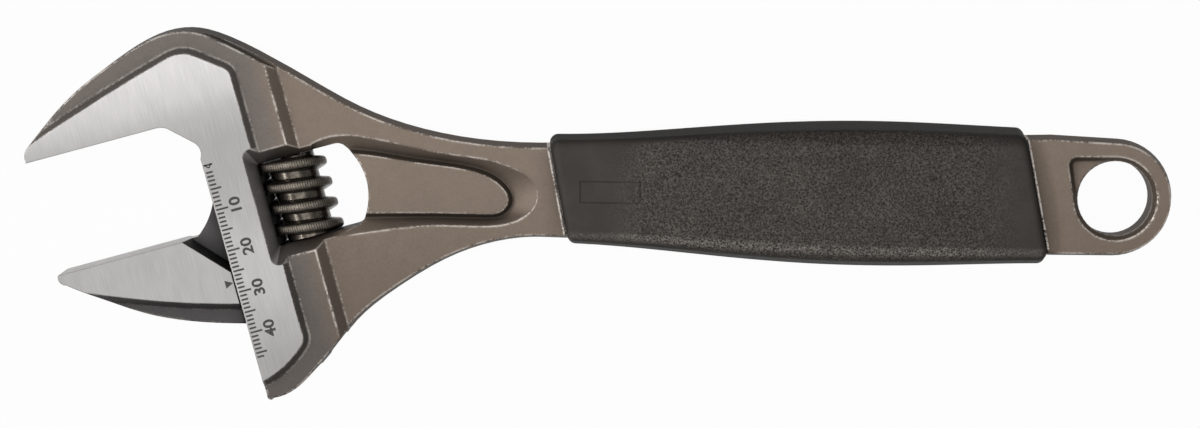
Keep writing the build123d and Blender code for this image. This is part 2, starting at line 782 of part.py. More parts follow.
# Grip, moulded over the shank
grip_sections = [
    (grip_start + 5.0, grip_front_width - 0.4, grip_front_thickness - 0.2),
    (0.86 * grip_start, grip_front_width + 1.2, grip_front_thickness + 0.8),
    (0.72 * grip_start, 0.90 * grip_width, 0.95 * grip_thickness),
    (0.58 * grip_start, 0.975 * grip_width, grip_thickness),
    (0.40 * grip_start, grip_width, grip_thickness),
    (grip_end - 7.0, grip_back_width, grip_back_thickness),
]


def grip_edges(width, thickness):
    """Section of the grip: crowned faces and sloped sides."""
    height = thickness / 2 - grip_crown
    half = width / 2 - height * math.tan(math.radians(grip_draft))
    ThreePointArc((-half, height), (0, thickness / 2), (half, height))
    Polyline((half, height), (width / 2, 0), (half, -height))
    ThreePointArc((half, -height), (0, -thickness / 2), (-half, -height))
    Polyline((-half, -height), (-width / 2, 0), (-half, height))


def shank_edges(level):
    """Edge of the cavity round the shank, at a height over the mid plane."""
    inset = level * math.tan(math.radians(forging_draft)) - grip_fit
    share = grip_overrun / (neck_reach - shank_reach)
    rise, fall = (shank_over - neck_upper) * share, (shank_under - neck_lower) * share
    front, back = -neck_reach - grip_overrun, -shank_reach + grip_overrun
    Polyline(
        (front, neck_upper - inset - rise),
        (front, inset - neck_lower + fall),
        (back, inset - shank_under - fall),
        (back, shank_over - inset + rise),
        close=True,
    )


with BuildPart() as grip_cavity:
    for level in (0, half_web - grip_seat_depth + grip_fit):
        with BuildSketch(Plane.XY.offset(level)):
            with BuildLine():
                shank_edges(level)
            make_face()
    loft(ruled=True)
    mirror(about=Plane.XY)

slant_run = Vector(math.cos(slant), math.sin(slant), 0)
with BuildPart() as grip:
    for reach, width, thickness in grip_sections:
        with BuildSketch(Plane(origin=(-reach, 0, 0), x_dir=(0, 1, 0), z_dir=(1, 0, 0))) as grip_section:
            with BuildLine():
                grip_edges(width, thickness)
            make_face()
            fillet(grip_section.vertices().sort_by(Axis.X)[1:-1], grip_corner_radius)
            grip_middles = grip_section.vertices().sort_by(Axis.X)
            fillet([grip_middles[0], grip_middles[-1]], grip_side_radius)
    loft()
    split(bisect_by=Plane(origin=(-grip_start, 0, 0), z_dir=slant_run), keep=Keep.TOP)
    split(bisect_by=Plane(origin=(-grip_end, 0, 0), z_dir=slant_run), keep=Keep.BOTTOM)
    grip_ends = grip.faces().filter_by(Axis((0, 0, 0), slant_run))
    fillet(grip_ends.edges(), grip_edge_radius)
    add(grip_cavity.part, mode=Mode.SUBTRACT)

grip.part.label = "grip"
export_step(grip.part, "parts/grip.step")
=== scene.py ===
import math

import bmesh
import bpy
from mathutils import Matrix, Vector


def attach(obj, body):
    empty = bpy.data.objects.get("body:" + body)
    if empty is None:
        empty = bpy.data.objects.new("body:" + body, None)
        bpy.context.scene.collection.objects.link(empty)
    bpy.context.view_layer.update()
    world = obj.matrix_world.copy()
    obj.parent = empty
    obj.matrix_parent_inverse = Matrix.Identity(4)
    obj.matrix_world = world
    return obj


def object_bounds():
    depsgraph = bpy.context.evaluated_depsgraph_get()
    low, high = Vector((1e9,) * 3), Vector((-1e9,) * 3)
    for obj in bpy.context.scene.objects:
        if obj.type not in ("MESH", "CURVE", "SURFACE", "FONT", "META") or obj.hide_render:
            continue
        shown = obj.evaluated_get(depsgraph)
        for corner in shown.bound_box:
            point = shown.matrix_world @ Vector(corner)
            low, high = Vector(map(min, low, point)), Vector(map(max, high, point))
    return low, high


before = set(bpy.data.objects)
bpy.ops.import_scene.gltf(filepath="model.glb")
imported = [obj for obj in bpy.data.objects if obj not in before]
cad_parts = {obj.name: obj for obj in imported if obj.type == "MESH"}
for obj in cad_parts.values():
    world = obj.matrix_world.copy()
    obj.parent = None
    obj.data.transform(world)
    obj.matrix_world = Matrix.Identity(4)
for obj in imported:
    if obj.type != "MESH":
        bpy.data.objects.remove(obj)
cad_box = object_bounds()

MM = 0.001

# The head's own axes: p runs from the front edge towards the handle, q into the fixed jaw
HEAD_ANGLE = math.radians(16.0)
HEAD_DATUM = Vector((-217.8, 15.5, 0.0)) * MM
HEAD_P = Vector((math.cos(HEAD_ANGLE), math.sin(HEAD_ANGLE), 0.0))
HEAD_Q = Vector((-math.sin(HEAD_ANGLE), math.cos(HEAD_ANGLE), 0.0))
GROUND_FACE = 8.5  # height of the ground faces over the mid plane, mm
JAW_OPENING = 27.4  # mm
KNURL_SETBACK = 19.65  # front edge to the knurl's axis, mm
KNURL_RADIUS = 8.1  # mm


def head_place(p, q, height):
    """A point given on the head's axes, in millimetres."""
    return HEAD_DATUM + HEAD_P * (p * MM) + HEAD_Q * (q * MM) + Vector((0, 0, height * MM))


def linear(red, green, blue):
    """Colour as seen on a screen, 0 to 255, as the light values that shaders use."""
    shares = (channel / 255 for channel in (red, green, blue))
    light = (s / 12.92 if s <= 0.04045 else ((s + 0.055) / 1.055) ** 2.4 for s in shares)
    return (*light, 1.0)


class Wire:
    """An output of a shader node. Sums and products of wires add Math nodes."""

    def __init__(self, finish, socket):
        self.finish = finish
        self.socket = socket

    def math(self, operation, first, second):
        return self.finish.node("ShaderNodeMath", {"operation": operation}, {0: first, 1: second})

    def __add__(self, other):
        return self.math("ADD", self, other)

    def __radd__(self, other):
        return self.math("ADD", other, self)

    def __sub__(self, other):
        return self.math("SUBTRACT", self, other)

    def __rsub__(self, other):
        return self.math("SUBTRACT", other, self)

    def __mul__(self, other):
        return self.math("MULTIPLY", self, other)

    def __rmul__(self, other):
        return self.math("MULTIPLY", other, self)

    def __gt__(self, other):
        return self.math("GREATER_THAN", self, other)

    def __lt__(self, other):
        return self.math("LESS_THAN", self, other)

    def __abs__(self):
        return self.math("ABSOLUTE", self, 0.0)


class Finish:
    """The nodes of a material, or of the world."""

    def __init__(self, owner):
        owner.use_nodes = True
        self.owner = owner
        self.tree = owner.node_tree
        self.tree.nodes.clear()

    def node(self, kind, settings, sockets, output=0):
        """Adds a node: its settings first, with a ramp's stops, then its sockets' values or wires."""
        made = self.tree.nodes.new(kind)
        for key, value in settings.items():
            if key == "stops":
                made.color_ramp.interpolation = "B_SPLINE"
                ramp = made.color_ramp.elements
                while len(ramp) < len(value):
                    ramp.new(0.5)
                for stop, (place, colour) in zip(ramp, value):
                    stop.position = place
                    stop.color = colour
            else:
                setattr(made, key, value)
        for key, value in sockets.items():
            if isinstance(value, Wire):
                self.tree.links.new(value.socket, made.inputs[key])
            else:
                made.inputs[key].default_value = value
        return Wire(self, made.outputs[output]) if made.outputs else None

    def smooth(self, value, low, high):
        """Rises smoothly from 0 at low to 1 at high."""
        return self.node(
            "ShaderNodeMapRange",
            {"interpolation_type": "SMOOTHSTEP"},
            {"Value": value, "From Min": low, "From Max": high, "To Min": 0.0, "To Max": 1.0},
        )

    def blend(self, share, first, second):
        """Colour between two colours."""
        return self.node(
            "ShaderNodeMix", {"data_type": "RGBA"}, {0: share, 6: first, 7: second}, output=2
        )

    def tint(self, colour, share):
        """Colour made lighter or darker by a factor."""
        grey = self.node("ShaderNodeCombineColor", {}, {0: share, 1: share, 2: share})
        return self.multiply(colour, grey)

    def multiply(self, first, second):
        """Product of two colours."""
        settings = {"data_type": "RGBA", "blend_type": "MULTIPLY"}
        return self.node("ShaderNodeMix", settings, {0: 1.0, 6: first, 7: second}, output=2)

    def largest(self, first, second):
        """The larger of two values."""
        return self.node("ShaderNodeMath", {"operation": "MAXIMUM"}, {0: first, 1: second})

    def between(self, value, low, high):
        """1 where a value lies between two limits, 0 elsewhere."""
        return (value > low) * (value < high)

    def ramp(self, value, stops):
        """Colour that runs softly through the given stops."""
        return self.node("ShaderNodeValToRGB", {"stops": stops}, {0: value})

    def places(self):
        """Object coordinates in millimetres: x, y, z."""
        coordinates = self.node("ShaderNodeTexCoord", {}, {}, output="Object")
        return [
            self.node("ShaderNodeSeparateXYZ", {}, {0: coordinates}, output=axis) * (1 / MM)
            for axis in ("X", "Y", "Z")
        ]

    def head_places(self, x, y):
        """The head's own p and q, in millimetres."""
        along = x - HEAD_DATUM.x / MM
        across = y - HEAD_DATUM.y / MM
        p = along * HEAD_P.x + across * HEAD_P.y
        q = along * HEAD_Q.x + across * HEAD_Q.y
        return p, q

    def vector(self, x, y, z):
        """One vector from three values."""
        return self.node("ShaderNodeCombineXYZ", {}, {0: x, 1: y, 2: z})

    def noise(self, vector, scale, detail=2.0, roughness=0.5):
        """Soft noise around 0.5; the vector is in millimetres."""
        return self.node(
            "ShaderNodeTexNoise",
            {},
            {"Vector": vector, "Scale": scale, "Detail": detail, "Roughness": roughness},
            output="Fac",
        )

    def rounded(self, radius):
        """Normal as if every sharp edge were rounded by a radius in millimetres."""
        return self.node("ShaderNodeBevel", {"samples": 6}, {"Radius": radius * MM})

    def dot(self, first, second):
        """Dot product of two vectors."""
        settings = {"operation": "DOT_PRODUCT"}
        return self.node("ShaderNodeVectorMath", settings, {0: first, 1: second}, output="Value")

    def edges(self, rounded):
        """Rises from 0 on open faces towards 1 on sharp edges."""
        flat = self.node("ShaderNodeNewGeometry", {}, {}, output="Normal")
        return 1.0 - self.dot(rounded, flat)

    def openness(self, distance):
        """1 on open faces, towards 0 in corners and hollows."""
        return self.node(
            "ShaderNodeAmbientOcclusion", {"samples": 10}, {"Distance": distance * MM}, output="AO"
        )

    def facing(self, direction):
        """How squarely the surface faces a direction."""
        flat = self.node("ShaderNodeNewGeometry", {}, {}, output="True Normal")
        local = self.node(
            "ShaderNodeVectorTransform",
            {"vector_type": "NORMAL", "convert_from": "WORLD", "convert_to": "OBJECT"},
            {0: flat},
        )
        return self.dot(local, tuple(direction))

    def bump(self, height, depth, strength, normal=None):
        """Surface relief; depth in millimetres."""
        sockets = {"Height": height, "Distance": depth * MM, "Strength": strength}
        if normal is not None:
            sockets["Normal"] = normal
        return self.node("ShaderNodeBump", {}, sockets)

    def surface(self, **sockets):
        """Ends the material with a shader; an underscore stands for a space in a socket's name."""
        named = {key.replace("_", " "): value for key, value in sockets.items()}
        shader = self.node("ShaderNodeBsdfPrincipled", {}, named)
        self.node("ShaderNodeOutputMaterial", {}, {"Surface": shader})
        return self.owner


GROUND_STEEL = linear(196, 194, 193)
GROUND_STREAK = linear(177, 175, 174)
WORN_STEEL = linear(226, 218, 210)
BROWN_COAT = linear(116, 104, 94)
# Painted shade: the darker coat over the head's border
SHADED_BORDER_COAT = linear(102, 96, 92)
JAW_COAT = linear(82, 80, 80)
SLAB_COAT = linear(152, 148, 146)
EDGE_TINT = (0.35, 0.35, 0.35, 1.0)  # holds the coat's shine down where it is seen edge on
COAT_INDEX = 1.25  # low refractive index of a dull coat
RUBBER_INDEX = 1.12

# Painted reflections on the ground strip along q, from foot to crown: soft light and dark bands drawn
# in its colour
BAND_FOOT, BAND_CROWN = -60.0, 13.0  # mm
REFLECTION_BANDS = [
    (BAND_FOOT, 0.50),
    (-49.0, 0.63),
    (-37.0, 0.77),
    (-22.0, 0.58),
    (-8.0, 0.54),
    (0.0, 0.63),
    (5.0, 0.84),
    (BAND_CROWN, 1.0),
]
JAW_TONE = 0.63  # the sliding jaw's even tone


def ground_tone(finish, q):
    """Painted reflections: soft light and dark bands across the head's ground strip, as a grey
    factor.
    """
    length = BAND_CROWN - BAND_FOOT
    stops = [((place - BAND_FOOT) / length, (tone, tone, tone, 1.0)) for place, tone in REFLECTION_BANDS]
    return finish.ramp((q - BAND_FOOT) * (1 / length), stops)


SLAB_P = (8.8, 13.2)  # reach of the machined wall beside the knurl, on the head's axes, mm
SLAB_Q = (-38.6, -10.4)
SLAB_TOP = GROUND_FACE - 0.1


def window_slab(finish, p, q, z):
    """1 on the machined wall between the scale strip and the knurl, 0 elsewhere."""
    near = finish.between(p, *SLAB_P) * finish.between(q, *SLAB_Q)
    return near * (abs(z) < SLAB_TOP) * (finish.facing(HEAD_P) > 0.3)


SQUARE_ON = 0.985  # least cosine of a face that looks straight along an axis
JAW_ROOT = -4.0  # on p, where the jaws' gripping faces end, mm
FRONT_EDGE = 0.4  # on p, just behind the head's front edge


def jaw_faces(finish, p):
    """1 on the jaws' faces and the head's front edge, which are ground bare, 0 elsewhere."""
    gripping = (abs(finish.facing(HEAD_Q)) > SQUARE_ON) * (p < JAW_ROOT)
    guiding = (finish.facing(HEAD_P) < -SQUARE_ON) * (p < FRONT_EDGE)
    return finish.largest(gripping, guiding)


SHOULDERS = (-131.5, -18.3)  # where the forging meets the grip's ends, on the handle's middle, mm
SHOULDER_LEAN = math.tan(math.radians(11.5))
SHOULDER_WIDTH = (0.25, 0.65)  # the worn line fades out between these distances, mm


def shoulder_edges(finish, x, y):
    """1 along the two leaning edges that the grip's ends stand against, 0 elsewhere."""
    upright = x + y * SHOULDER_LEAN
    front, back = (abs(upright - shoulder) for shoulder in SHOULDERS)
    return finish.largest(
        1.0 - finish.smooth(front, *SHOULDER_WIDTH), 1.0 - finish.smooth(back, *SHOULDER_WIDTH)
    )


HEAD_MIDDLE = head_place(2.0, -14.0, 0.0) / MM  # middle of the ground faces, mm
BORDER_END = 13.5  # on p, how far the border round the ground faces reaches back, mm
COAT_ROUNDING = 0.8  # radius of the forging's rounded edges, mm
GROUND_ROUNDING = 0.35
SHARPNESS = (0.006, 0.026)  # how much an edge must bend to wear
OPEN_EDGE = (0.86, 0.96)  # how open an edge must lie to be rubbed
RUBBED = (0.74, 0.94)  # how much of an edge the broken wear leaves


def edge_wear(finish, x, y, z, p, open_share, shoulders):
    """Broken bright line along the outer edges, but none where they lean to the ground faces."""
    place = finish.vector(x, y, z)
    rub = finish.noise(place, 1.7, 4.0, 0.75)
    patches = finish.noise(place, 0.14, 2.0, 0.5)
    rounded = finish.rounded(COAT_ROUNDING)
    sharp = finish.smooth(finish.edges(rounded), *SHARPNESS)
    outer = finish.smooth(open_share, *OPEN_EDGE)
    from_middle = finish.vector(x - HEAD_MIDDLE.x, y - HEAD_MIDDLE.y, 0.0)
    leaning = finish.smooth(finish.dot(rounded, from_middle), -1.0, 1.0)
    worn = sharp * outer * finish.largest(leaning, p > BORDER_END)
    return finish.largest(worn, shoulders) * finish.smooth(rub + patches * 0.7, *RUBBED)


def ground_steel(finish, p, q):
    """Bare steel with fine grinding marks that run along q."""
    streak = finish.noise(finish.vector(p * 9.0, q * 0.14, 0.0), 1.0, 3.0, 0.6)
    cloud = finish.noise(finish.vector(p * 0.30, q * 0.12, 3.0), 1.0, 2.0, 0.5)
    steel = finish.blend(finish.smooth(streak, 0.25, 0.75), GROUND_STREAK, GROUND_STEEL)
    return finish.tint(steel, 0.90 + cloud * 0.20), streak


BORDER_SHADE_FADE = (15.0, 22.0)  # on p, from the painted shade over the head's border to the handle's coat, mm
FOOT_SHADE_FADE = (-42.0, 12.0)  # on y, over which the painted shade at the head's foot fades upwards, mm
FOOT_SHADE = 0.72  # painted shade: the coat's tone at the head's foot, against its upper side
HOLLOW_SHADE = 0.18  # painted shade: what is left of the coat's tone in closed corners and hollows
SIDE_SHADE = 0.62  # painted shade on upright sides: what is left of the coat's tone there
FACE_LIGHT = 1.5  # painted light on the jaws' faces, against the ground sides
GROUND_LIMIT = GROUND_FACE - 0.03  # height from which a face counts as ground, mm


def coated_steel(name, coat, shaded_border_coat, is_body):
    """Phosphate-coated forging, ground bare on its faces and worn bright along its edges."""
    finish = Finish(bpy.data.materials.new(name))
    x, y, z = finish.places()
    p, q = finish.head_places(x, y)
    place = finish.vector(x, y, z)
    grain = finish.noise(place, 1.9, 5.0, 0.75)
    mottle = finish.noise(place, 0.3, 4.0, 0.65)
    open_share = finish.openness(5.0)
    shoulders = shoulder_edges(finish, x, y) * is_body
    worn = edge_wear(finish, x, y, z, p, open_share, shoulders) * (0.5 + 0.5 * is_body)

    # Painted shade: the coat is darker over the head's border
    colour = finish.blend(finish.smooth(p, *BORDER_SHADE_FADE), shaded_border_coat, coat)
    # Painted shade, darker towards the head's foot
    colour = finish.tint(colour, FOOT_SHADE + finish.smooth(y, *FOOT_SHADE_FADE) * (1.0 - FOOT_SHADE))
    colour = finish.blend(window_slab(finish, p, q, z) * is_body, colour, SLAB_COAT)
    colour = finish.tint(colour, 0.60 + grain * 0.60 + mottle * 0.20)
    # Painted shade in corners and hollows, from occlusion
    colour = finish.tint(colour, HOLLOW_SHADE + open_share * open_share * (1.0 - HOLLOW_SHADE))
    flat = finish.smooth(abs(finish.facing((0, 0, 1))), 0.15, 0.7)
    # Painted shade on upright sides
    colour = finish.tint(colour, SIDE_SHADE + flat * (1.0 - SIDE_SHADE))
    colour = finish.blend(worn * 0.9, colour, WORN_STEEL)

    steel, streak = ground_steel(finish, p, q)
    ground = abs(z) > GROUND_LIMIT
    bare = finish.largest(ground, jaw_faces(finish, p))
    # Painted reflection bands on the body's ground faces; the sliding jaw's ground faces get one even
    # tone
    side_tone = ground_tone(finish, q) if is_body else (JAW_TONE, JAW_TONE, JAW_TONE, 1.0)
    # Painted light makes the jaws' faces brighter than the ground faces
    steel = finish.blend(ground, finish.tint(steel, FACE_LIGHT), finish.multiply(steel, side_tone))
    normal = finish.node(
        "ShaderNodeMix",
        {"data_type": "VECTOR"},
        {0: bare, 4: finish.rounded(COAT_ROUNDING), 5: finish.rounded(GROUND_ROUNDING)},
        output=1,
    )
    relief = grain * (1.0 - bare) + streak * bare * 0.3
    return finish.surface(
        Base_Color=finish.blend(bare, colour, steel),
        Metallic=0.55 + worn * 0.3,
        Roughness=(0.40 + grain * 0.14) * (1.0 - bare) + (0.30 + streak * 0.14) * bare,
        Normal=finish.bump(relief, depth=0.03, strength=0.35, normal=normal),
        Specular_Tint=EDGE_TINT,
        IOR=COAT_INDEX,
    )


SERRATIONS = 84.0  # teeth round the knurl's crest
CREST_DEPTH = (0.45, 0.12)  # the crest begins and is full this far below the knurl's radius, mm
BLACK_OXIDE = linear(72, 67, 61)
RUBBED_OXIDE = linear(101, 94, 86)
CREST_OXIDE = linear(150, 142, 130)


def blackened_steel(name, serrated):
    """Black oxide over turned steel; the knurl's thread has a serrated crest."""
    finish = Finish(bpy.data.materials.new(name))
    x, y, z = finish.places()
    p, _ = finish.head_places(x, y)
    place = finish.vector(x, y, z)
    grain = finish.noise(place, 2.4, 3.0, 0.6)
    rounded = finish.rounded(0.25)
    open_share = finish.openness(4.0)
    out = p - KNURL_SETBACK
    spoke = finish.vector(out, z, 0.0)
    radius = finish.node("ShaderNodeVectorMath", {"operation": "LENGTH"}, {0: spoke}, output="Value")
    angle = finish.node("ShaderNodeMath", {"operation": "ARCTAN2"}, {0: z, 1: out})
    teeth = finish.node("ShaderNodeMath", {"operation": "SINE"}, {0: angle * SERRATIONS})
    crest = finish.smooth(radius, *(KNURL_RADIUS - depth for depth in CREST_DEPTH))
    rub = finish.noise(place, 1.4, 3.0, 0.6)
    colour = finish.blend(finish.smooth(rub, 0.35, 0.7), BLACK_OXIDE, RUBBED_OXIDE)
    # Painted shade: the oxide darkens to near black in hollows and corners
    colour = finish.tint(colour, 0.08 + finish.smooth(open_share, 0.12, 0.80) * 0.92)
    bright = crest * finish.smooth(teeth, 0.0, 1.0) * 0.45 * serrated
    colour = finish.blend(bright, colour, CREST_OXIDE)
    relief = teeth * crest * serrated + grain * 0.10
    return finish.surface(
        Base_Color=colour,
        Metallic=0.9,
        Roughness=0.20 + grain * 0.12 + crest * serrated * 0.12,
        Normal=finish.bump(relief, depth=0.06, strength=0.6, normal=rounded),
    )


def bright_wire(name):
    """Drawn spring wire."""
    finish = Finish(bpy.data.materials.new(name))
    x, y, z = finish.places()
    grain = finish.noise(finish.vector(x, y, z), 4.0, 3.0, 0.6)
    colour = finish.blend(grain, linear(120, 116, 110), linear(172, 168, 162))
    return finish.surface(
        Base_Color=colour,
        Metallic=0.95,
        Roughness=0.25 + grain * 0.15,
        Normal=finish.bump(grain, depth=0.02, strength=0.3),
    )


GRAIN_START = -120.0  # where the grip's moulded grain begins, mm
GRAIN_END = -20.0
GRAIN_FADE = (12.0, 16.0)  # length over which it comes in at the front and goes out at the back, mm
GRAIN_FACE = 7.4  # height over the mid plane where the grain stops at the grip's sides, mm
UPPER_EDGE_SHADE = (11.2, 13.4)  # where painted shade darkens the broad face towards its upper edge, mm
LOWER_RIDGE = -12.9  # painted highlight along the lower edge, at the grip's widest, mm
RIDGE_RISE = 2.1  # how far that line rises towards the front end
RIDGE_REACH = (-125.0, -55.0)  # between these it comes down to its place, mm
RIDGE_WIDTH = (0.4, 1.6)  # the painted highlight fades out between these distances, mm
RUBBER_SIDE_SHADE = 0.42  # painted shade: the rubber's tone on upright sides


def moulded_rubber(name):
    """Black rubber, smooth at its ends and sides, finely grained where the hand holds it."""
    finish = Finish(bpy.data.materials.new(name))
    x, y, z = finish.places()
    place = finish.vector(x, y, z)
    cells = finish.node(
        "ShaderNodeTexVoronoi",
        {"feature": "SMOOTH_F1"},
        {"Vector": place, "Scale": 2.1, "Smoothness": 0.5, "Randomness": 1.0},
        output="Distance",
    )
    wrinkle = finish.noise(place, 2.4, 4.0, 0.7)
    fine = finish.noise(place, 7.0, 2.0, 0.5)
    front = finish.smooth(x, GRAIN_START, GRAIN_START + GRAIN_FADE[0])
    back = 1.0 - finish.smooth(x, GRAIN_END - GRAIN_FADE[1], GRAIN_END)
    face = finish.smooth(abs(z), GRAIN_FACE, GRAIN_FACE + 1.0)
    zone = front * back * face * 0.95 + 0.05
    grain = (cells * 0.7 + wrinkle * 0.9) * zone
    rounded = finish.rounded(0.4)
    dust = finish.noise(place, 0.10, 3.0, 0.6)
    # The grain's tops get a painted highlight and its pits painted shade
    tops = finish.smooth(cells * 0.5 + wrinkle * 0.7, 0.45, 0.80) * zone
    pits = finish.smooth(wrinkle, 0.52, 0.36) * zone
    colour = finish.blend(finish.smooth(dust, 0.3, 0.75), linear(71, 67, 64), linear(78, 74, 70))
    colour = finish.tint(colour, 1.0 + tops * 1.1 - pits * 0.6)
    # Painted shade towards the broad face's upper edge
    colour = finish.tint(colour, 1.0 - finish.smooth(y, *UPPER_EDGE_SHADE) * 0.35)
    # Painted highlight along the lower ridge, broken by the grain
    ridge = LOWER_RIDGE + RIDGE_RISE - finish.smooth(x, *RIDGE_REACH) * RIDGE_RISE
    on_ridge = 1.0 - finish.smooth(abs(y - ridge), *RIDGE_WIDTH)
    ridge_highlight = on_ridge * finish.smooth(wrinkle + fine * 0.4, 0.55, 0.90)
    colour = finish.tint(colour, 1.0 + ridge_highlight * 1.6)
    flat = finish.smooth(abs(finish.facing((0, 0, 1))), 0.35, 0.95)
    # Painted shade on upright sides
    colour = finish.tint(colour, RUBBER_SIDE_SHADE + flat * (1.0 - RUBBER_SIDE_SHADE))
    return finish.surface(
        Base_Color=colour,
        IOR=RUBBER_INDEX,
        Roughness=0.46 + fine * 0.14 - tops * 0.05,
        Normal=finish.bump(grain + fine * 0.10, depth=0.35, strength=0.9, normal=rounded),
    )


def etched_ink(name):
    """Dark etched marking, slightly uneven."""
    finish = Finish(bpy.data.materials.new(name))
    x, y, z = finish.places()
    speckle = finish.noise(finish.vector(x, y, z), 5.0, 3.0, 0.7)
    return finish.surface(
        Base_Color=finish.blend(speckle, linear(34, 32, 31), linear(78, 74, 70)),
        Roughness=0.55 + speckle * 0.2,
    )


def new_piece(name, shape, material, body):
    """Makes a mesh piece from a bmesh and lets it ride on a body."""
    mesh = bpy.data.meshes.new(name)
    shape.to_mesh(mesh)
    shape.free()
    piece = bpy.data.objects.new(name, mesh)
    bpy.context.scene.collection.objects.link(piece)
    mesh.materials.append(material)
    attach(piece, body)
    return piece


MARK_HEIGHT = 0.02  # thickness of an etched mark, mm


def add_plate(shape, corners):
    """A thin flat mark on a ground face, from its corners on the head's axes."""
    low = [shape.verts.new(head_place(p, q, GROUND_FACE)) for p, q in corners]
    high = [shape.verts.new(head_place(p, q, GROUND_FACE + MARK_HEIGHT)) for p, q in corners]
    shape.faces.new(high)
    shape.faces.new(list(reversed(low)))
    for index in range(len(corners)):
        after = (index + 1) % len(corners)
        shape.faces.new([low[index], low[after], high[after], high[index]])


TICK_ZERO = 12.2  # fixed jaw's face to the zero tick, mm
TICK_COUNT = 46
TICK_MARGIN = 0.35  # front edge to the ticks, mm
TICK_WIDTH = 0.44
TICK_TEN, TICK_FIVE, TICK_ONE = 2.9, 2.6, 1.65  # lengths, mm
ZERO_MARGIN = 0.25  # front edge to the open triangle at zero, mm
ZERO_WIDTH = 2.1
ZERO_HEIGHT = 1.0
ZERO_RULE = 0.40  # width of its lines


def tick_length(number):
    """Length of a tick: longer at fives, longest at tens."""
    if number % 10 == 0:
        return TICK_TEN
    return TICK_FIVE if number % 5 == 0 else TICK_ONE


def scale_ticks(ink):
    """Millimetre ticks along the head's front edge, with an open triangle at zero."""
    shape = bmesh.new()
    for number in range(1, TICK_COUNT + 1):
        middle = -TICK_ZERO - number
        low, high = middle - TICK_WIDTH / 2, middle + TICK_WIDTH / 2
        end = TICK_MARGIN + tick_length(number)
        add_plate(shape, [(TICK_MARGIN, low), (end, low), (end, high), (TICK_MARGIN, high)])
    left = ZERO_MARGIN
    right = left + ZERO_WIDTH
    middle = (left + right) / 2
    foot = -TICK_ZERO
    top = foot + ZERO_HEIGHT
    tip = [(middle + ZERO_RULE / 2, foot), (middle - ZERO_RULE / 2, foot)]
    add_plate(shape, [(left, top - ZERO_RULE), (right, top - ZERO_RULE), (right, top), (left, top)])
    add_plate(shape, [(left, top), (left + ZERO_RULE, top), *tip])
    add_plate(shape, [(right - ZERO_RULE, top), (right, top), *tip])
    new_piece("scale_ticks", shape, ink, "forging")


NUMBER_SIZE = 3.5  # type size, mm
NUMBER_HEIGHT = 2.5  # about the height that this size gives the figures
NUMBER_WEIGHT = 0.10  # how much the strokes are thickened, mm
NUMBER_START = 3.7  # front edge to the figures' heads, mm
NUMBER_STRETCH = 1.16  # figures wider than the type's own


def scale_numbers(ink):
    """Figures 10 to 40 beside their ticks, read from the handle's side."""
    whole = bmesh.new()
    for number in range(10, TICK_COUNT, 10):
        words = bpy.data.curves.new(f"figure_{number}", "FONT")
        words.body = str(number)
        words.size = NUMBER_SIZE * MM
        words.align_x = "CENTER"
        words.extrude = MARK_HEIGHT / 2 * MM
        words.offset = NUMBER_WEIGHT * MM
        holder = bpy.data.objects.new(f"figure_{number}", words)
        bpy.context.scene.collection.objects.link(holder)
        bpy.context.view_layer.update()
        evaluated = holder.evaluated_get(bpy.context.evaluated_depsgraph_get())
        flat = bpy.data.meshes.new_from_object(evaluated)
        height = GROUND_FACE + MARK_HEIGHT / 2
        base = head_place(NUMBER_START + NUMBER_HEIGHT, -TICK_ZERO - number, height)
        turn = Matrix((HEAD_Q * NUMBER_STRETCH, -HEAD_P, Vector((0, 0, 1)))).transposed().to_4x4()
        flat.transform(Matrix.Translation(base) @ turn)
        whole.from_mesh(flat)
        bpy.data.objects.remove(holder)
        bpy.data.curves.remove(words)
        bpy.data.meshes.remove(flat)
    new_piece("scale_numbers", whole, ink, "forging")


POINTER_DROP = 12.3  # sliding jaw's face to the pointer's tip, mm
POINTER_TIP = -0.4  # the tip's place on p
POINTER_BACK = -2.3
POINTER_HALF_WIDTH = 0.95


def jaw_pointer(ink):
    """Solid triangle on the sliding jaw that reads against the scale."""
    shape = bmesh.new()
    middle = -JAW_OPENING - POINTER_DROP
    low, high = middle - POINTER_HALF_WIDTH, middle + POINTER_HALF_WIDTH
    add_plate(shape, [(POINTER_BACK, low), (POINTER_TIP, middle), (POINTER_BACK, high)])
    new_piece("jaw_pointer", shape, ink, "jaw")


BADGE_MIDDLE = Vector((-119.1, -0.1))  # mm
BADGE_SIZE = Vector((14.4, 5.3))
BADGE_RULE = 0.35  # width of the frame's line
BADGE_BEVEL = 0.08
BADGE_RISE = 0.10
BADGE_ROOT = -0.05  # how deep the line is set in the rubber
BADGE_STEPS = 12  # points along each side, which follow the crowned face
RAY_HEIGHT = 0.05  # where rays down to the grip start, m


